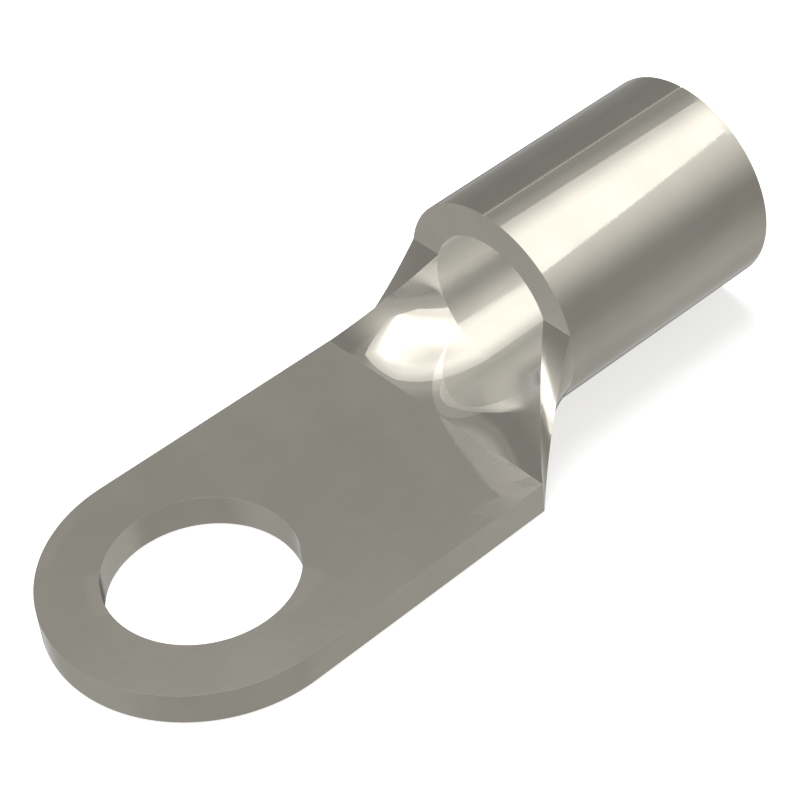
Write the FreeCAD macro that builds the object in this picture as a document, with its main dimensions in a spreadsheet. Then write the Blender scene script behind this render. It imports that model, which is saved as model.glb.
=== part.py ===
# Ring terminal with an open-fronted wire barrel, made from one piece of sheet.
#
# The sheet is stamped to a flat tongue with a stud hole in its round end. Behind the tongue
# it curls up through a short open trough and is rolled to a tube, the wire barrel, whose
# edges meet in a straight seam along the top.
#
# Frame in millimetres: the origin is the centre of the stud hole, on the tongue's underside.
# +X runs along the tongue to the wire end, +Z is up, and both sides of Y = 0 are alike.

import FreeCAD, Part
import math
import os
import Sketcher

NODE = "ring_terminal"

# Driving sizes, one cell of the sheet for each
SIZES = {
    "stud_hole_dia": 6.5,
    "ring_dia": 10.7,
    "neck_width": 10.5,
    "sheet_thickness": 1.2,
    "flat_length": 10.0,
    "trough_length": 3.0,
    "crease_height": 4.7,
    "waist_inset": 0.18,
    "lip_inset": 0.11,
    "lip_sag": 0.17,
    "barrel_bore": 5.3,
    "barrel_length": 9.2,
    "entry_chamfer": 0.2,
    "seam_width": 0.12,
    "seam_depth": 0.08,
}

# Places along X
WAIST = "sizes.flat_length + sizes.trough_length / 2"
BARREL_FRONT = "sizes.flat_length + sizes.trough_length"
WIRE_END = "sizes.flat_length + sizes.trough_length + sizes.barrel_length"

# The barrel's section: its lowest line is level with the tongue's underside
HALF_NECK = "sizes.neck_width / 2"
BORE_RADIUS = "sizes.barrel_bore / 2"
BARREL_RADIUS = "(sizes.barrel_bore / 2 + sizes.sheet_thickness)"
BARREL_TOP = "sizes.barrel_bore + 2 * sizes.sheet_thickness"

# Corners of the sheet's cut edge, each as its distance across and its height. The creases,
# where the cut edge meets the barrel's front, lie at one height on the barrel and its bore.
CREASE_RISE = f"(sizes.crease_height - {BARREL_RADIUS})"
CREASE_OUTER = (f"sqrt({BARREL_RADIUS} ^ 2 - {CREASE_RISE} ^ 2)", "sizes.crease_height")
CREASE_INNER = (f"sqrt(({BORE_RADIUS}) ^ 2 - {CREASE_RISE} ^ 2)", "sizes.crease_height")

# Halfway along the trough, the cut edge lies a little inside the straight line between
# the neck's corner and the crease
WAIST_OUTER = (
    f"({HALF_NECK} + {CREASE_OUTER[0]}) / 2 - sizes.waist_inset",
    "sizes.crease_height / 2",
)
WAIST_INNER = (
    f"({HALF_NECK} + {CREASE_INNER[0]}) / 2 - sizes.lip_inset",
    "(sizes.sheet_thickness + sizes.crease_height) / 2 - sizes.lip_sag",
)

ORIGIN = FreeCAD.Vector(0, 0, 0)
NORMAL = FreeCAD.Vector(0, 0, 1)

# How constraints number a sketch element's points, the sketch's own axes and its origin
START, END, CENTRE = range(1, 4)
ACROSS_AXIS, UP_AXIS = range(-1, -3, -1)
ROOT_POINT = (ACROSS_AXIS, START)

TOLERANCE = 1e-6


def add_sizes(doc):
    """Puts the driving sizes into the sheet, one row for each."""
    sheet = doc.addObject("Spreadsheet::Sheet", "sizes")
    for row, (alias, number) in enumerate(SIZES.items(), start=1):
        sheet.set(f"A{row}", alias)
        sheet.set(f"B{row}", str(number))
        sheet.setAlias(f"B{row}", alias)
    doc.recompute()


def value(item, expression):
    """An expression's present value, for an element's first place and for finding edges."""
    return float(item.evalExpression(expression))


def point(across, up):
    """A point in a sketch's own plane."""
    return FreeCAD.Vector(across, up, 0)


def origin_plane(body, role):
    """One of the body's own origin planes."""
    return next(item for item in body.Origin.OriginFeatures if item.Role == role)


def sketch_on(body, role, name, distance=None):
    """A sketch on one of the body's origin planes, or off it by a distance."""
    sketch = body.newObject("Sketcher::SketchObject", name)
    sketch.AttachmentSupport = (origin_plane(body, role), [""])
    sketch.MapMode = "FlatFace"
    if distance:
        sketch.setExpression("AttachmentOffset.Base.z", distance)
    return sketch


def fix(sketch, kind, *elements):
    """Adds a constraint that has no size."""
    sketch.addConstraint(Sketcher.Constraint(kind, *elements))


def bind(sketch, name, expression, kind, *elements):
    """Adds a constraint whose size is bound to an expression."""
    constraint = Sketcher.Constraint(kind, *elements, value(sketch, expression))
    index = sketch.addConstraint(constraint)
    sketch.renameConstraint(index, name)
    sketch.setExpression("Constraints." + name, expression)


def add_closed_outline(sketch, corners):
    """Straight lines from corner to corner, joined end to end."""
    count = len(corners)
    for index, corner in enumerate(corners):
        sketch.addGeometry(Part.LineSegment(corner, corners[(index + 1) % count]))
    for index in range(count):
        fix(sketch, "Coincident", index, END, (index + 1) % count, START)


def add_tongue(body):
    """The flat tongue: a round end about the stud hole, with sides tangent to it."""
    sketch = sketch_on(body, "XY_Plane", "tongue_outline")
    radius = value(sketch, "sizes.ring_dia / 2")
    length = value(sketch, "sizes.flat_length")
    half_neck = value(sketch, HALF_NECK)
    corner_angle = math.atan2(half_neck, length)
    tangent_angle = corner_angle + math.acos(radius / math.hypot(length, half_neck))
    far_tangent = point(radius * math.cos(tangent_angle), radius * math.sin(tangent_angle))
    near_tangent = point(far_tangent.x, -far_tangent.y)
    far_corner = point(length, half_neck)
    near_corner = point(length, -half_neck)

    circle = Part.Circle(ORIGIN, NORMAL, radius)
    arc = Part.ArcOfCircle(circle, tangent_angle, 2 * math.pi - tangent_angle)
    ring = sketch.addGeometry(arc)
    near_side = sketch.addGeometry(Part.LineSegment(near_tangent, near_corner))
    neck = sketch.addGeometry(Part.LineSegment(near_corner, far_corner))
    far_side = sketch.addGeometry(Part.LineSegment(far_corner, far_tangent))

    fix(sketch, "Coincident", ring, CENTRE, *ROOT_POINT)
    fix(sketch, "Tangent", ring, END, near_side, START)
    fix(sketch, "Coincident", near_side, END, neck, START)
    fix(sketch, "Coincident", neck, END, far_side, START)
    fix(sketch, "Tangent", far_side, END, ring, START)
    fix(sketch, "Symmetric", neck, START, neck, END, ACROSS_AXIS)
    bind(sketch, "ring_radius", "sizes.ring_dia / 2", "Radius", ring)
    bind(sketch, "flat_length", "sizes.flat_length", "DistanceX", *ROOT_POINT, neck, START)
    bind(sketch, "neck_width", "sizes.neck_width", "DistanceY", neck, START, neck, END)

    tongue = body.newObject("PartDesign::Pad", "tongue")
    tongue.Profile = sketch
    tongue.setExpression("Length", "sizes.sheet_thickness")
    return tongue


def add_stud_hole(body):
    """The punched hole for the stud, up through the sheet."""
    sketch = sketch_on(body, "XY_Plane", "stud_hole_circle")
    circle = Part.Circle(ORIGIN, NORMAL, value(sketch, "sizes.stud_hole_dia / 2"))
    rim = sketch.addGeometry(circle)
    fix(sketch, "Coincident", rim, CENTRE, *ROOT_POINT)
    bind(sketch, "stud_hole_dia", "sizes.stud_hole_dia", "Diameter", rim)

    hole = body.newObject("PartDesign::Pocket", "stud_hole")
    hole.Profile = sketch
    hole.Reversed = True
    hole.setExpression("Length", "sizes.sheet_thickness")
    return hole


def add_neck_section(body):
    """Half of the sheet's flat section, where the trough begins."""
    sketch = sketch_on(body, "YZ_Plane", "neck_section", "sizes.flat_length")
    half_neck = value(sketch, HALF_NECK)
    thickness = value(sketch, "sizes.sheet_thickness")
    corners = [(0, 0), (half_neck, 0), (half_neck, thickness), (0, thickness)]
    add_closed_outline(sketch, [point(*corner) for corner in corners])
    underside, cut_edge, upper_side, middle = range(len(corners))
    fix(sketch, "Coincident", underside, START, *ROOT_POINT)
    fix(sketch, "Horizontal", underside)
    fix(sketch, "Vertical", cut_edge)
    fix(sketch, "Horizontal", upper_side)
    fix(sketch, "Vertical", middle)
    bind(sketch, "half_neck", HALF_NECK, "DistanceX", underside, START, underside, END)
    bind(sketch, "sheet_thickness", "sizes.sheet_thickness", "DistanceY", cut_edge, START, cut_edge, END)
    return sketch


def level_arc(lowest_height, across, up):
    """An arc that starts level at the middle and rises to a point."""
    rise = up - lowest_height
    radius = (across ** 2 + rise ** 2) / (2 * rise)
    centre = point(0, lowest_height + radius)
    start_angle = -math.pi / 2
    end_angle = math.atan2(up - centre.y, across)
    return Part.ArcOfCircle(Part.Circle(centre, NORMAL, radius), start_angle, end_angle)


def add_curled_section(body, name, distance, outer_corner, inner_corner):
    """Half of a curled section: an arc for each side of the sheet, joined by the cut edge."""
    sketch = sketch_on(body, "YZ_Plane", name, distance)
    outer_arc = level_arc(0, *(value(sketch, place) for place in outer_corner))
    thickness = value(sketch, "sizes.sheet_thickness")
    inner_arc = level_arc(thickness, *(value(sketch, place) for place in inner_corner))
    outer = sketch.addGeometry(outer_arc)
    cut_edge = sketch.addGeometry(Part.LineSegment(outer_arc.EndPoint, inner_arc.EndPoint))
    inner = sketch.addGeometry(inner_arc)
    middle = sketch.addGeometry(Part.LineSegment(inner_arc.StartPoint, outer_arc.StartPoint))

    fix(sketch, "Coincident", outer, END, cut_edge, START)
    fix(sketch, "Coincident", cut_edge, END, inner, END)
    fix(sketch, "Coincident", inner, START, middle, START)
    fix(sketch, "Coincident", middle, END, outer, START)
    fix(sketch, "Coincident", outer, START, *ROOT_POINT)
    fix(sketch, "PointOnObject", inner, START, UP_AXIS)
    fix(sketch, "PointOnObject", outer, CENTRE, UP_AXIS)
    fix(sketch, "PointOnObject", inner, CENTRE, UP_AXIS)
    bind(sketch, "sheet_thickness", "sizes.sheet_thickness", "DistanceY", *ROOT_POINT, inner, START)
    bind(sketch, "outer_across", outer_corner[0], "DistanceX", *ROOT_POINT, outer, END)
    bind(sketch, "outer_height", outer_corner[1], "DistanceY", *ROOT_POINT, outer, END)
    bind(sketch, "inner_across", inner_corner[0], "DistanceX", *ROOT_POINT, inner, END)
    bind(sketch, "inner_height", inner_corner[1], "DistanceY", *ROOT_POINT, inner, END)
    return sketch


def add_half_trough(body):
    """Half of the open trough, in which the sheet curls from flat to round."""
    neck = add_neck_section(body)
    waist = add_curled_section(body, "waist_section", WAIST, WAIST_OUTER, WAIST_INNER)
    curl = add_curled_section(body, "curl_section", BARREL_FRONT, CREASE_OUTER, CREASE_INNER)
    half = body.newObject("PartDesign::AdditiveLoft", "half_trough")
    half.Profile = neck
    half.Sections = [waist, curl]
    return half


def add_other_half(body):
    """The trough's other half, mirrored at the plane Y = 0."""
    trough = body.newObject("PartDesign::Mirrored", "trough")
    trough.Originals = [body.Document.getObject("half_trough")]
    trough.MirrorPlane = (origin_plane(body, "XZ_Plane"), [""])
    body.Tip = trough
    return trough


def add_barrel(body):
    """The wire barrel, a straight tube with a wall of the sheet's thickness."""
    sketch = sketch_on(body, "YZ_Plane", "barrel_section", BARREL_FRONT)
    centre = point(0, value(sketch, BARREL_RADIUS))
    outer = sketch.addGeometry(Part.Circle(centre, NORMAL, value(sketch, BARREL_RADIUS)))
    bore = sketch.addGeometry(Part.Circle(centre, NORMAL, value(sketch, BORE_RADIUS)))
    fix(sketch, "PointOnObject", outer, CENTRE, UP_AXIS)
    fix(sketch, "Coincident", bore, CENTRE, outer, CENTRE)
    bind(sketch, "barrel_radius", BARREL_RADIUS, "Radius", outer)
    bind(sketch, "bore_radius", BORE_RADIUS, "Radius", bore)
    bind(sketch, "axis_height", BARREL_RADIUS, "DistanceY", *ROOT_POINT, outer, CENTRE)

    barrel = body.newObject("PartDesign::Pad", "barrel")
    barrel.Profile = sketch
    barrel.setExpression("Length", "sizes.barrel_length")
    return barrel


def is_bore_rim(edge, wire_end, bore_radius):
    """Whether an edge is the bore's rim at the wire end."""
    if not isinstance(edge.Curve, Part.Circle):
        return False
    at_wire_end = math.isclose(edge.Curve.Center.x, wire_end, abs_tol=TOLERANCE)
    return at_wire_end and math.isclose(edge.Curve.Radius, bore_radius, abs_tol=TOLERANCE)


def add_wire_entry(body):
    """The small bevel that leads the wire's strands into the bore."""
    barrel = body.Tip
    wire_end = value(barrel, WIRE_END)
    bore_radius = value(barrel, BORE_RADIUS)
    rims = [
        f"Edge{number}"
        for number, edge in enumerate(barrel.Shape.Edges, start=1)
        if is_bore_rim(edge, wire_end, bore_radius)
    ]
    entry = body.newObject("PartDesign::Chamfer", "wire_entry")
    entry.Base = (barrel, rims)
    entry.setExpression("Size", "sizes.entry_chamfer")
    return entry


def add_seam(body):
    """The seam along the barrel's top, a fine V groove between the rolled edges.

    The V is drawn on past the barrel's top, as high as the groove is deep, where it is
    twice as wide as the groove.
    """
    sketch = sketch_on(body, "YZ_Plane", "seam_section", WIRE_END)
    top = value(sketch, BARREL_TOP)
    depth = value(sketch, "sizes.seam_depth")
    width = value(sketch, "sizes.seam_width")
    corners = [(0, top - depth), (width, top + depth), (-width, top + depth)]
    add_closed_outline(sketch, [point(*corner) for corner in corners])
    far_flank, mouth, near_flank = range(len(corners))
    fix(sketch, "PointOnObject", far_flank, START, UP_AXIS)
    fix(sketch, "Symmetric", far_flank, END, near_flank, START, UP_AXIS)
    bind(sketch, "groove_floor", BARREL_TOP + " - sizes.seam_depth", "DistanceY",
         *ROOT_POINT, far_flank, START)
    bind(sketch, "mouth_height", BARREL_TOP + " + sizes.seam_depth", "DistanceY",
         *ROOT_POINT, mouth, START)
    bind(sketch, "mouth_width", "2 * sizes.seam_width", "DistanceX", mouth, END, mouth, START)

    seam = body.newObject("PartDesign::Pocket", "seam")
    seam.Profile = sketch
    seam.setExpression("Length", "sizes.barrel_length")
    return seam


def add_terminal(doc):
    """The whole terminal as one body, with a check that each feature does its work."""
    body = doc.addObject("PartDesign::Body", NODE)
    body.Label = NODE
    adding = [add_tongue, add_half_trough, add_other_half, add_barrel]
    cutting = [add_stud_hole, add_wire_entry, add_seam]
    volume = 0.0
    for add_feature in adding + cutting:
        feature = add_feature(body)
        doc.recompute()
        change = feature.Shape.Volume - volume
        if change == 0 or (change > 0) != (add_feature in adding):
            raise RuntimeError(f"{feature.Name} changes the volume by {change:.4f} mm3")
        volume = feature.Shape.Volume
    return body


def check(doc, body):
    """Stops if an object failed to compute or the body isn't one valid solid."""
    for item in doc.Objects:
        if "Invalid" in item.State or "Error" in item.State:
            raise RuntimeError(f"{item.Name} failed: {item.State}")
    shape = body.Shape
    if shape.isNull() or not shape.isValid() or len(shape.Solids) != 1:
        raise RuntimeError(f"{body.Label} isn't one valid solid")


def main():
    doc = FreeCAD.newDocument(NODE)
    add_sizes(doc)
    body = add_terminal(doc)
    check(doc, body)
    os.makedirs("parts", exist_ok=True)
    body.Shape.exportStep(f"parts/{body.Label}.step")
    box = body.Shape.BoundBox
    print(f"{body.Label}: {box.XLength:.3f} x {box.YLength:.3f} x {box.ZLength:.3f} mm,"
          f" {body.Shape.Volume:.3f} mm3")


main()
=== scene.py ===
"""Looks of the ring terminal: bright tinned copper on a pale floor under a soft studio sky."""

import math

import bmesh
import bpy
from mathutils import Matrix, Vector


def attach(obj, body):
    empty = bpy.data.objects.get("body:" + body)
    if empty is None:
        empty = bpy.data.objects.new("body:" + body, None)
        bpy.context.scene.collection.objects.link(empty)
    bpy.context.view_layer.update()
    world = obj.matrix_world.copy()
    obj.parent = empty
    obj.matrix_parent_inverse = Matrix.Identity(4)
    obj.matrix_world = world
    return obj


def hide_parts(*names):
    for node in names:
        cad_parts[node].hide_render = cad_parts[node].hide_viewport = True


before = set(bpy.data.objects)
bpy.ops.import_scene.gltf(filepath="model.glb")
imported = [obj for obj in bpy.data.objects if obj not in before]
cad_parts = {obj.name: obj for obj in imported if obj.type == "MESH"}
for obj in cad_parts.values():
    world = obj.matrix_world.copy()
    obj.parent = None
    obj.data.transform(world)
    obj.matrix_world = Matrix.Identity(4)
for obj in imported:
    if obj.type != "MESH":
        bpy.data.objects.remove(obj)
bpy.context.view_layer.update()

NODE = "ring_terminal"
MM = 0.001

# The solid's sizes in millimetres, with a seam that is a little finer
STUD_RADIUS = 3.25
RING_RADIUS = 5.35
HALF_NECK = 5.25
SHEET = 1.2
FLAT_END = 10.0
TROUGH_LENGTH = 3.0
BARREL_LENGTH = 9.2
CREASE_HEIGHT = 4.7
BORE_RADIUS = 2.65
ENTRY_CHAMFER = 0.2
SEAM_HALF = 0.04
SEAM_DEPTH = 0.072
BARREL_RADIUS = BORE_RADIUS + SHEET
BARREL_FRONT = FLAT_END + TROUGH_LENGTH
WIRE_END = BARREL_FRONT + BARREL_LENGTH

# The trough's two skins: how far each draws in before the barrel, and how softly it bends up
INNER = {"radius": BORE_RADIUS, "floor": SHEET, "pull": 0.16, "bend": 0.005}
OUTER = {"radius": BARREL_RADIUS, "floor": 0.0, "pull": 0.48, "bend": 0.0}

# Fineness of the mesh, as numbers of faces
ACROSS_STEPS = 96
ALONG_STEPS = 40
BEND_STEPS = 5
TOP_STEPS = 28
BARREL_STEPS = 24
RING_STEPS = 96
SIDE_STEPS = 24
WALL_STEPS = 6

# Length in millimetres of the thin rows of faces where trough and barrel meet
JOIN = 0.01

# Edges sharper than this, in degrees, are rounded by this much, in millimetres
SHARP_ANGLE = 6.0
EDGE_ROUND = 0.002

# Camera
LENS_MM = 124.73
SENSOR_MM = 36.0
CLIP_START = 0.005
CLIP_END = 10.0
CAMERA_PLACE = (-0.032409, -0.053518, 0.063307)
CAMERA_RIGHT = (0.73744, -0.66933, -0.09044)
CAMERA_UP = (0.50113, 0.45246, 0.73767)
CAMERA_BACK = (-0.45280, -0.58920, 0.66910)

# Tinned copper: colours, roughness outside and in the bore, and where along X the bore's begins
TIN = (0.300, 0.286, 0.251, 1.0)
TIN_DARK = (0.283, 0.269, 0.235, 1.0)
GRAZING_TINT = (0.64, 0.64, 0.63, 1.0)
ROUGH_OUTSIDE = 0.045
ROUGH_BORE = 0.1
BORE_START = BARREL_FRONT - 0.5
BORE_FULL = BARREL_FRONT + 2.0

# Its patterns: clouds, lines along the sheet and fine grain, by how many there are to the millimetre
CLOUDS_PER_MM = 0.45
LINES_PER_MM = 9.0
LINES_STRETCH = (24.0, 1.0, 1.0)
GRAIN_PER_MM = 3.0

# The span of each noise that acts, and what it then adds to the roughness
CLOUDS_SPAN = (0.35, 0.65)
CLOUDS_ROUGHER = (-0.012, 0.018)
LINES_SPAN = (0.3, 0.7)
LINES_ROUGHER = (-0.006, 0.012)

# The tone darkens over this span of clouds and lines together
LINES_IN_COLOR = 0.25
DARK_SPAN = (0.45, 0.8)

# The relief of lines and grain, its depth in millimetres
LINES_IN_RELIEF = 0.4
RELIEF_STRENGTH = 0.03
RELIEF_DEPTH = 0.02

# Wear comes in over this span of an edge's pointiness, which the grain makes uneven
WEAR_SPAN = (0.53, 0.6)
GRAIN_SPAN = (0.3, 0.7)
WEAR_UNEVEN = (-0.02, 0.02)
WEAR_ROUGHER = 0.12

# Floor: its side and height in metres, just under the part, and the glow that makes it white to see
FLOOR_SIZE = 3.0
FLOOR_Z = -0.02 * MM
FLOOR_COLOR = (0.82, 0.82, 0.815, 1.0)
FLOOR_GLOW = 0.6

# Key light: its place and size in metres, and its level on the floor
KEY_PLACE = (0.05, 0.1, 0.45)
KEY_SIZE = 0.35
KEY_LEVEL = 0.62

# Sky: its plain level as light, and the level that metal mirrors, on the far and the near side.
# Going up, from -1 to 1, a mirrored level changes between two heights by an amount.
SKY_LEVEL = 0.35
SKY_BELOW = [(-0.86, -0.8, -0.05), (-0.8, -0.6, -0.12)]
SKY_ABOVE_FAR = [(-0.05, 0.3, -0.12), (0.54, 0.64, 0.2), (0.68, 0.8, 0.35)]
SKY_FAR = (1.12, SKY_BELOW + [(-0.4, 0.0, -0.16)] + SKY_ABOVE_FAR)
SKY_NEAR = (0.96, SKY_BELOW + [(-0.5, -0.1, -0.07), (0.0, 0.95, 1.8)])
SKY_SIDES_MEET = 0.3

# Glows in the mirrored sky: the direction, its closeness at the edge and the heart of the glow,
# the level, and the heights between which the glow comes in. One patch is darker.
GLOWS = [
    {"toward": (0.97, -0.26, 0.0), "edge": 0.4, "heart": 0.75, "level": 0.42, "heights": (-0.2, -0.9)},
    {"toward": (-0.42, 0.91, 0.0), "edge": 0.4, "heart": 0.75, "level": 0.12, "heights": (-0.2, -0.9)},
    {"toward": (-0.75, -0.55, 0.37), "edge": 0.42, "heart": 0.78, "level": 0.5, "heights": (-0.3, 0.0)},
]
DARKER_PATCH = {"toward": (0.453, 0.589, -0.669), "edge": 0.93, "heart": 0.99, "level": -0.75}

# Panel: its height in metres, and places on it as shares of that height. Its light comes in over
# the softness from the sides between some of its corners.
PANEL_HEIGHT = 0.6
PANEL_CORNERS = [(0.83, -3.4), (0.83, 0.28), (0.15, 0.64), (-0.75, 0.72), (-2.5, -0.85), (-2.5, -3.4)]
PANEL_SOFT_SIDES = slice(1, 5)
PANEL_SOFTNESS = 0.42
PANEL_EDGE_LEVEL = 2.1
PANEL_LEVEL = 3.6

# It is brighter to the left, beyond a margin, and weaker far to the near side and overhead
PANEL_MORE = 1.8
MORE_INSIDE = 0.2
MORE_LEFTWARD = (0.5, -0.4)
PANEL_LESS_NEAR = 2.4
LESS_NEARWARD = (-0.6, -2.0)
PANEL_LESS_OVERHEAD = 1.55
OVERHEAD_X = -0.08
OVERHEAD_REACH = 0.5

# The part's stand-in for mirror images of itself: what it lets through, its gloss, which changes
# between these two places along X, and how far it lies under the part's surface in millimetres
DOUBLE_CLEAR = (0.86, 0.86, 0.86, 1.0)
DOUBLE_GLOSS = 0.38
DOUBLE_GLOSS_ON_TONGUE = 0.16
DOUBLE_CHANGE_FROM = FLAT_END - 0.5
DOUBLE_CHANGE_TO = FLAT_END + 1.5
DOUBLE_ROUGHNESS = 0.36
DOUBLE_SHRINK = 0.004

# Sockets of a Mix node that mixes colours
COLOR_A = 6
COLOR_B = 7
COLOR_RESULT = 2


def spread(low, high, steps):
    """Evenly spaced numbers from low to high."""
    return [low + (high - low) * step / steps for step in range(steps + 1)]


def between(one, two, share):
    """The point at a share of the way from one point to another."""
    return tuple(a + (b - a) * share for a, b in zip(one, two))


class Shell:
    """Gathers faces whose corners are welded where they meet."""

    def __init__(self):
        self.numbers = {}
        self.points = []
        self.faces = []
        self.inner = []

    def corner(self, point):
        """The number of a point given in millimetres."""
        key = tuple(round(number, 5) for number in point)
        if key not in self.numbers:
            self.numbers[key] = len(self.points)
            self.points.append([number * MM for number in point])
        return self.numbers[key]

    def face(self, points, inner):
        """One face, unless its points leave no area between them."""
        corners = []
        for point in points:
            corner = self.corner(point)
            if corner not in corners:
                corners.append(corner)
        if len(corners) > 2:
            self.faces.append(corners)
            self.inner.append(1.0 if inner else 0.0)

    def sheet(self, rows, inner=False):
        """Faces between rows of points, marked where they are on the sheet metal's inner side."""
        for one, two in zip(rows, rows[1:]):
            for index in range(len(one) - 1):
                self.face((one[index], one[index + 1], two[index + 1], two[index]), inner)

    def wall(self, one, two):
        """Faces across the metal from one row of points to another."""
        shares = spread(0, 1, WALL_STEPS)
        self.sheet([[between(a, b, share) for a, b in zip(one, two)] for share in shares])


ACROSS = spread(-1, 1, ACROSS_STEPS)


def crease_angle(radius):
    """How far round the barrel's axis the crease lies from the lowest line."""
    return math.acos((BARREL_RADIUS - CREASE_HEIGHT) / radius)


def eased(share, bend):
    """Rises from 0 to 1, softly over the bend and straight after it."""
    rise = share * share / (2 * bend) if share < bend else share - bend / 2
    return rise / (1 - bend / 2)


def trough_point(across, along, radius, floor, pull, bend):
    """A point of a trough's skin, which turns from a level line at the tongue into an arc."""
    turn = abs(across) * crease_angle(radius)
    flat_y = abs(across) * HALF_NECK
    arc_y = radius * math.sin(turn)
    arc_z = BARREL_RADIUS - radius * math.cos(turn)
    y = flat_y + (arc_y - flat_y) * (along + pull * along * (1 - along))
    z = floor + (arc_z - floor) * eased(along, bend)
    return (FLAT_END + along * TROUGH_LENGTH, math.copysign(y, across), z)


def add_trough(shell):
    """The open trough: two skins, and the cut edges that join them."""
    soft = INNER["bend"]
    last = 1 - JOIN / TROUGH_LENGTH
    stations = spread(0, soft, BEND_STEPS) + spread(soft, last, ALONG_STEPS)[1:] + [1.0]
    inner = [[trough_point(across, along, **INNER) for across in ACROSS] for along in stations]
    outer = [[trough_point(across, along, **OUTER) for across in ACROSS] for along in stations]
    shell.sheet(inner, inner=True)
    shell.sheet(outer)
    for side in (0, -1):
        shell.wall([row[side] for row in inner], [row[side] for row in outer])


def barrel_ring(x, radius, gap=0.0, depth=0.0):
    """The points round the barrel at one place along it, from the seam's bottom to itself again."""
    crease = crease_angle(radius)
    upper = spread(crease, math.pi - gap / radius, TOP_STEPS)[1:]
    turns = [-turn for turn in reversed(upper)] + [across * crease for across in ACROSS] + upper
    seam = (x, 0.0, BARREL_RADIUS + radius - depth)
    circle = [(x, radius * math.sin(turn), BARREL_RADIUS - radius * math.cos(turn)) for turn in turns]
    return [seam] + circle + [seam]


def barrel_places(end):
    """Places along the barrel, with a thin row of faces at its front."""
    return [BARREL_FRONT] + spread(BARREL_FRONT + JOIN, end, BARREL_STEPS)


def add_barrel(shell):
    """The rolled barrel: outside with its seam, bore with its chamfer, and the two end faces."""
    outside = [barrel_ring(x, BARREL_RADIUS, SEAM_HALF, SEAM_DEPTH) for x in barrel_places(WIRE_END)]
    bore = [barrel_ring(x, BORE_RADIUS) for x in barrel_places(WIRE_END - ENTRY_CHAMFER)]
    mouth = barrel_ring(WIRE_END, BORE_RADIUS + ENTRY_CHAMFER)
    shell.sheet(outside)
    shell.sheet(bore, inner=True)
    shell.sheet([bore[-1], mouth])
    shell.wall(outside[-1], mouth)
    above_crease = TOP_STEPS + 2
    shell.wall(outside[0][:above_crease], bore[0][:above_crease])
    shell.wall(outside[0][-above_crease:], bore[0][-above_crease:])


def tongue_outline():
    """The bend line, and the tongue's free edge in plan from its far end round the ring and back."""
    corner = math.atan2(HALF_NECK, FLAT_END)
    tangent = corner + math.acos(RING_RADIUS / math.hypot(FLAT_END, HALF_NECK))
    bend_line = [(FLAT_END, across * HALF_NECK) for across in ACROSS]
    touch = (RING_RADIUS * math.cos(tangent), RING_RADIUS * math.sin(tangent))
    far_side = [between(bend_line[-1], touch, share) for share in spread(0, 1, SIDE_STEPS)]
    near_side = [(x, -y) for x, y in reversed(far_side)]
    ring = [(RING_RADIUS * math.cos(turn), RING_RADIUS * math.sin(turn))
            for turn in spread(tangent, 2 * math.pi - tangent, RING_STEPS)]
    return bend_line, far_side[1:] + ring[1:] + near_side[1:]


def at_height(points, z):
    """Points of a plan at a height."""
    return [(x, y, z) for x, y in points]


def add_tongue(shell):
    """The flat tongue with its stud hole."""
    bend_line, free_edge = tongue_outline()
    outline = bend_line + free_edge
    hole = []
    for x, y in outline:
        reach = math.hypot(x, y)
        hole.append((STUD_RADIUS * x / reach, STUD_RADIUS * y / reach))
    for z in (0.0, SHEET):
        shell.wall(at_height(hole, z), at_height(outline, z))
    for loop in (hole, bend_line[-1:] + free_edge):
        shell.wall(at_height(loop, SHEET), at_height(loop, 0.0))


def make_terminal():
    """The whole terminal as one closed mesh, with its sharp edges just broken."""
    shell = Shell()
    add_trough(shell)
    add_barrel(shell)
    add_tongue(shell)
    mesh = bpy.data.meshes.new("terminal")
    mesh.from_pydata(shell.points, [], shell.faces)
    mesh.attributes.new("inner", "FLOAT", "FACE").data.foreach_set("value", shell.inner)
    work = bmesh.new()
    work.from_mesh(mesh)
    bmesh.ops.recalc_face_normals(work, faces=work.faces)
    weight = work.edges.layers.float.new("bevel_weight_edge")
    for face in work.faces:
        face.smooth = True
    for edge in work.edges:
        if edge.calc_face_angle(0.0) > math.radians(SHARP_ANGLE):
            edge[weight] = 1.0
            edge.smooth = False
    work.to_mesh(mesh)
    work.free()
    terminal = bpy.data.objects.new("terminal", mesh)
    bpy.context.scene.collection.objects.link(terminal)
    bevel = terminal.modifiers.new("edges", "BEVEL")
    bevel.limit_method = "WEIGHT"
    bevel.width = EDGE_ROUND * MM
    bevel.segments = 2
    bevel.harden_normals = True
    return terminal


def new_material(name):
    """A material with no nodes yet, and its node tree."""
    material = bpy.data.materials.new(name)
    material.use_nodes = True
    material.node_tree.nodes.clear()
    return material, material.node_tree


def fill(tree, socket, value):
    """Sets a socket, or links it where the value is a socket itself."""
    if isinstance(value, bpy.types.NodeSocket):
        tree.links.new(value, socket)
    else:
        socket.default_value = value


def node(tree, kind, **inputs):
    """A node whose named sockets are filled."""
    made = tree.nodes.new(kind)
    for key, value in inputs.items():
        fill(tree, made.inputs[key.replace("_", " ")], value)
    return made


def math_node(tree, operation, *terms):
    """The result of a Math node."""
    made = tree.nodes.new("ShaderNodeMath")
    made.operation = operation
    for socket, term in zip(made.inputs, terms):
        fill(tree, socket, term)
    return made.outputs[0]


def added(tree, first, *others):
    """The sum of some numbers."""
    for other in others:
        first = math_node(tree, "ADD", first, other)
    return first


def times(tree, one, two):
    """The product of two numbers."""
    return math_node(tree, "MULTIPLY", one, two)


def less(tree, one, two):
    """One number less another."""
    return math_node(tree, "SUBTRACT", one, two)


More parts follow.
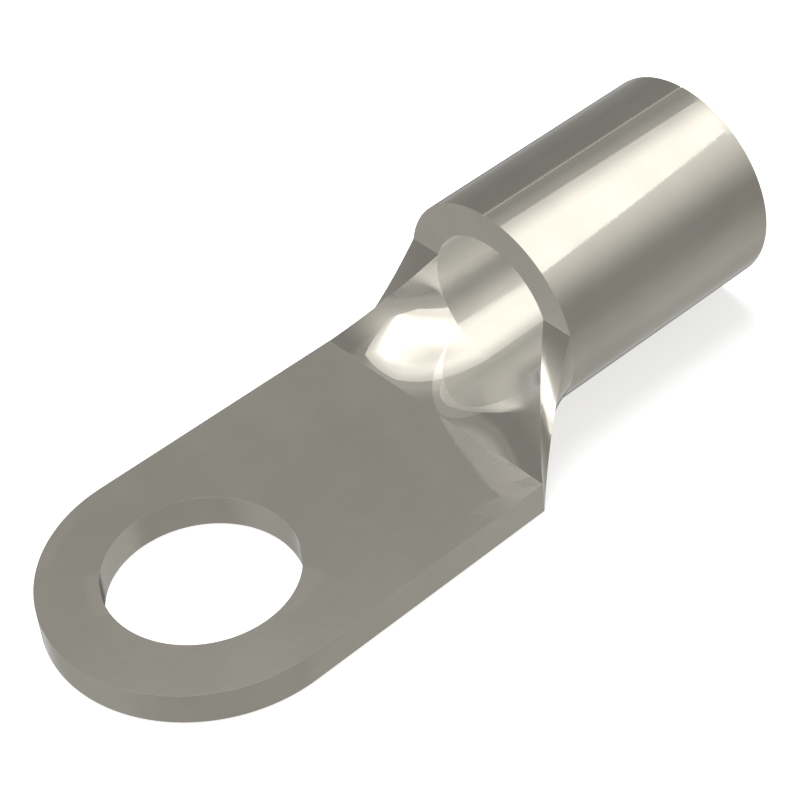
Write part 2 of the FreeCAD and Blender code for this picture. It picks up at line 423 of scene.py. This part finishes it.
def ramp(tree, number, low, high, to_low=0.0, to_high=1.0):
    """Changes smoothly from one value to another while the number goes from low to high."""
    made = node(tree, "ShaderNodeMapRange", Value=number, From_Min=low, From_Max=high,
                To_Min=to_low, To_Max=to_high)
    made.interpolation_type = "SMOOTHSTEP"
    return made.outputs["Result"]


def step_sum(tree, number, start, steps):
    """A level that begins at start and changes by each step's amount between its two places."""
    total = start
    for low, high, amount in steps:
        total = added(tree, ramp(tree, number, low, high, 0.0, amount), total)
    return total


def mixed(tree, share, one, two):
    """One number at share 0, the other at share 1."""
    return node(tree, "ShaderNodeMix", Factor=share, A=one, B=two).outputs["Result"]


def axes_of(tree, vector):
    """A vector's X, Y and Z."""
    return node(tree, "ShaderNodeSeparateXYZ", Vector=vector).outputs


def closeness(tree, direction, toward):
    """How closely one direction follows another: the cosine between them."""
    made = node(tree, "ShaderNodeVectorMath")
    made.operation = "DOT_PRODUCT"
    fill(tree, made.inputs[0], direction)
    fill(tree, made.inputs[1], toward)
    return made.outputs["Value"]


def shader_sum(tree, one, two):
    """Two shaders added."""
    made = tree.nodes.new("ShaderNodeAddShader")
    fill(tree, made.inputs[0], one.outputs[0])
    fill(tree, made.inputs[1], two.outputs[0])
    return made


def surface(tree, shader):
    """Makes a shader the material's surface."""
    node(tree, "ShaderNodeOutputMaterial", Surface=shader.outputs[0])


def noise(tree, place, per_mm, detail, stretch=(1.0, 1.0, 1.0)):
    """Noise with so many features to the millimetre, drawn out by a stretch along each axis."""
    scale = [per_mm / MM / amount for amount in stretch]
    scaled = node(tree, "ShaderNodeMapping", Vector=place, Scale=scale).outputs[0]
    return node(tree, "ShaderNodeTexNoise", Vector=scaled, Scale=1.0, Detail=detail).outputs[0]


def inner_side(tree):
    """1 on the sheet metal's inner side, in the trough and the bore, and 0 elsewhere."""
    made = tree.nodes.new("ShaderNodeAttribute")
    made.attribute_name = "inner"
    return made.outputs["Fac"]


def edge_wear(tree, grain):
    """1 where an edge is worn, and 0 on the flats."""
    pointed = node(tree, "ShaderNodeNewGeometry").outputs["Pointiness"]
    uneven = ramp(tree, grain, *GRAIN_SPAN, *WEAR_UNEVEN)
    return ramp(tree, added(tree, pointed, uneven), *WEAR_SPAN)


def tin_roughness(tree, place, clouds, lines, grain):
    """Smooth outside and duller in the bore, with clouds, lines and worn edges."""
    deep = ramp(tree, axes_of(tree, place)["X"], BORE_START * MM, BORE_FULL * MM)
    in_bore = times(tree, inner_side(tree), deep)
    plain = ramp(tree, in_bore, 0.0, 1.0, ROUGH_OUTSIDE, ROUGH_BORE)
    cloudy = ramp(tree, clouds, *CLOUDS_SPAN, *CLOUDS_ROUGHER)
    lined = ramp(tree, lines, *LINES_SPAN, *LINES_ROUGHER)
    worn = times(tree, edge_wear(tree, grain), WEAR_ROUGHER)
    return added(tree, plain, cloudy, lined, worn)


def tin_color(tree, clouds, lines):
    """The tin's tone, a little darker in clouds and lines."""
    pattern = added(tree, clouds, times(tree, lines, LINES_IN_COLOR))
    made = node(tree, "ShaderNodeMix")
    made.data_type = "RGBA"
    fill(tree, made.inputs["Factor"], ramp(tree, pattern, *DARK_SPAN))
    fill(tree, made.inputs[COLOR_A], TIN)
    fill(tree, made.inputs[COLOR_B], TIN_DARK)
    return made.outputs[COLOR_RESULT]


def tinned_copper():
    """Bright tin: cloudy in colour and gloss, faintly lined along the sheet, worn at its edges."""
    material, tree = new_material("tinned_copper")
    place = node(tree, "ShaderNodeTexCoord").outputs["Object"]
    clouds = noise(tree, place, CLOUDS_PER_MM, detail=3.0)
    lines = noise(tree, place, LINES_PER_MM, detail=2.0, stretch=LINES_STRETCH)
    grain = noise(tree, place, GRAIN_PER_MM, detail=4.0)
    relief = added(tree, times(tree, lines, LINES_IN_RELIEF), grain)
    bump = node(tree, "ShaderNodeBump", Strength=RELIEF_STRENGTH, Distance=RELIEF_DEPTH * MM,
                Height=relief)
    shader = node(tree, "ShaderNodeBsdfPrincipled", Metallic=1.0, Specular_Tint=GRAZING_TINT,
                  Base_Color=tin_color(tree, clouds, lines),
                  Roughness=tin_roughness(tree, place, clouds, lines, grain),
                  Normal=bump.outputs[0])
    surface(tree, shader)
    return material


def make_camera():
    """The camera at the photograph's angle."""
    data = bpy.data.cameras.new("camera")
    data.lens = LENS_MM
    data.sensor_width = SENSOR_MM
    data.clip_start = CLIP_START
    data.clip_end = CLIP_END
    camera = bpy.data.objects.new("camera", data)
    bpy.context.scene.collection.objects.link(camera)
    turn = Matrix((CAMERA_RIGHT, CAMERA_UP, CAMERA_BACK)).transposed()
    camera.matrix_world = Matrix.Translation(CAMERA_PLACE) @ turn.to_4x4()
    bpy.context.scene.camera = camera


def flat_stage(name, corners, material):
    """A flat piece of the studio with the given corners."""
    mesh = bpy.data.meshes.new(name)
    mesh.from_pydata(corners, [], [range(len(corners))])
    mesh.materials.append(material)
    piece = bpy.data.objects.new(name, mesh)
    bpy.context.scene.collection.objects.link(piece)
    return piece


def make_floor():
    """A pale floor, white to the camera, with the part's shadow. The sky stands in for it in metal."""
    material, tree = new_material("floor")
    diffuse = node(tree, "ShaderNodeBsdfDiffuse", Color=FLOOR_COLOR)
    path = node(tree, "ShaderNodeLightPath").outputs
    seen = added(tree, path["Is Camera Ray"], path["Is Glossy Ray"], path["Is Transmission Ray"])
    white = node(tree, "ShaderNodeEmission", Strength=times(tree, seen, FLOOR_GLOW))
    surface(tree, shader_sum(tree, diffuse, white))
    half = FLOOR_SIZE / 2
    corners = at_height([(-half, -half), (half, -half), (half, half), (-half, half)], FLOOR_Z)
    floor = flat_stage("floor", corners, material)
    floor.visible_glossy = False


def sky_glow(tree, direction, toward, edge, heart, level):
    """A round glow in the sky, or a darker patch where its level is negative."""
    return ramp(tree, closeness(tree, direction, toward), edge, heart, 0.0, level)


def mirrored_sky(tree):
    """The sky's level as metal mirrors it: brighter overhead and on the near side."""
    direction = node(tree, "ShaderNodeTexCoord").outputs["Generated"]
    axes = axes_of(tree, direction)
    near_share = ramp(tree, axes["Y"], SKY_SIDES_MEET, -SKY_SIDES_MEET)
    far = step_sum(tree, axes["Z"], *SKY_FAR)
    near = step_sum(tree, axes["Z"], *SKY_NEAR)
    glows = []
    for glow in GLOWS:
        shape = {key: value for key, value in glow.items() if key != "heights"}
        comes_in = ramp(tree, axes["Z"], *glow["heights"])
        glows.append(times(tree, sky_glow(tree, direction, **shape), comes_in))
    darker = sky_glow(tree, direction, **DARKER_PATCH)
    return added(tree, mixed(tree, near_share, far, near), *glows, darker)


def make_world():
    """A soft even sky as light, and one with more shape as the metal mirrors it."""
    world = bpy.data.worlds.new("studio")
    bpy.context.scene.world = world
    world.use_nodes = True
    world.cycles.sampling_method = "NONE"
    tree = world.node_tree
    tree.nodes.clear()
    glossy = node(tree, "ShaderNodeLightPath").outputs["Is Glossy Ray"]
    strength = mixed(tree, glossy, SKY_LEVEL, mirrored_sky(tree))
    background = node(tree, "ShaderNodeBackground", Color=(1.0, 1.0, 1.0, 1.0), Strength=strength)
    node(tree, "ShaderNodeOutputWorld", Surface=background.outputs[0])


def make_key():
    """A round soft light overhead that throws the part's faint shadow."""
    data = bpy.data.lights.new("key", "AREA")
    data.shape = "DISK"
    data.size = KEY_SIZE
    radius = KEY_SIZE / 2
    area = math.pi * radius ** 2
    seen_share = radius ** 2 / (KEY_PLACE[2] ** 2 + radius ** 2)
    data.energy = KEY_LEVEL / seen_share * area * math.pi
    key = bpy.data.objects.new("key", data)
    bpy.context.scene.collection.objects.link(key)
    key.location = KEY_PLACE
    key.rotation_euler = Vector(KEY_PLACE).to_track_quat("Z", "Y").to_euler()
    key.visible_glossy = False


def distance_inside(tree, x, y, corners):
    """How far a place lies inside the nearest of the sides between the given corners."""
    nearest = PANEL_SOFTNESS
    for (start_x, start_y), (end_x, end_y) in zip(corners, corners[1:]):
        run = end_x - start_x
        rise = end_y - start_y
        length = math.hypot(run, rise)
        from_x = times(tree, less(tree, x, start_x), -rise / length)
        from_y = times(tree, less(tree, y, start_y), run / length)
        nearest = math_node(tree, "MINIMUM", added(tree, from_x, from_y), nearest)
    return nearest


def panel_level(tree):
    """The panel's level: soft sides, more of it to the left, less overhead and far to the near side."""
    place = axes_of(tree, node(tree, "ShaderNodeNewGeometry").outputs["Position"])
    x = math_node(tree, "DIVIDE", place["X"], PANEL_HEIGHT)
    y = math_node(tree, "DIVIDE", place["Y"], PANEL_HEIGHT)
    inside = distance_inside(tree, x, y, PANEL_CORNERS[PANEL_SOFT_SIDES])
    plain = ramp(tree, inside, 0.0, PANEL_SOFTNESS, PANEL_EDGE_LEVEL, PANEL_LEVEL)
    leftward = ramp(tree, x, *MORE_LEFTWARD, 0.0, PANEL_MORE)
    more = times(tree, ramp(tree, inside, MORE_INSIDE, PANEL_SOFTNESS), leftward)
    less_near = ramp(tree, y, *LESS_NEARWARD, 0.0, PANEL_LESS_NEAR)
    off_x = less(tree, x, OVERHEAD_X)
    from_overhead = added(tree, times(tree, off_x, off_x), times(tree, y, y))
    less_overhead = ramp(tree, from_overhead, OVERHEAD_REACH ** 2, 0.0, 0.0, PANEL_LESS_OVERHEAD)
    return less(tree, less(tree, added(tree, plain, more), less_near), less_overhead)


def make_panel():
    """The large soft light overhead that the metal mirrors."""
    material, tree = new_material("panel")
    surface(tree, node(tree, "ShaderNodeEmission", Strength=panel_level(tree)))
    corners = [(x * PANEL_HEIGHT, y * PANEL_HEIGHT, PANEL_HEIGHT) for x, y in PANEL_CORNERS]
    panel = flat_stage("panel", corners, material)
    panel.visible_camera = False
    panel.visible_diffuse = False
    panel.visible_shadow = False


def double_material():
    """Clear from behind, and from the front nearly clear with a faint gloss, weaker on the tongue."""
    material, tree = new_material("double")
    x = axes_of(tree, node(tree, "ShaderNodeTexCoord").outputs["Object"])["X"]
    strength = ramp(tree, x, DOUBLE_CHANGE_FROM * MM, DOUBLE_CHANGE_TO * MM,
                    DOUBLE_GLOSS_ON_TONGUE, DOUBLE_GLOSS)
    gloss = node(tree, "ShaderNodeBsdfAnisotropic", Color=strength, Roughness=DOUBLE_ROUGHNESS)
    front = shader_sum(tree, node(tree, "ShaderNodeBsdfTransparent", Color=DOUBLE_CLEAR), gloss)
    back = node(tree, "ShaderNodeBsdfTransparent")
    behind = node(tree, "ShaderNodeNewGeometry").outputs["Backfacing"]
    facing = node(tree, "ShaderNodeMixShader", Fac=behind)
    fill(tree, facing.inputs[1], front.outputs[0])
    fill(tree, facing.inputs[2], back.outputs[0])
    surface(tree, facing)
    return material


def make_double(terminal):
    """The part as its own mirror images show it: a copy that only reflections meet."""
    mesh = terminal.data.copy()
    mesh.materials.clear()
    mesh.materials.append(double_material())
    double = bpy.data.objects.new("double", mesh)
    bpy.context.scene.collection.objects.link(double)
    shrink = double.modifiers.new("shrink", "DISPLACE")
    shrink.strength = -DOUBLE_SHRINK * MM
    shrink.mid_level = 0.0
    double.visible_camera = False
    double.visible_diffuse = False
    double.visible_shadow = False


terminal = make_terminal()
terminal.data.materials.append(tinned_copper())
terminal.visible_glossy = False
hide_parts(NODE)
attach(terminal, "root")
make_double(terminal)

make_camera()
make_floor()
make_world()
make_key()
make_panel()
bpy.context.scene.view_settings.view_transform = "Standard"
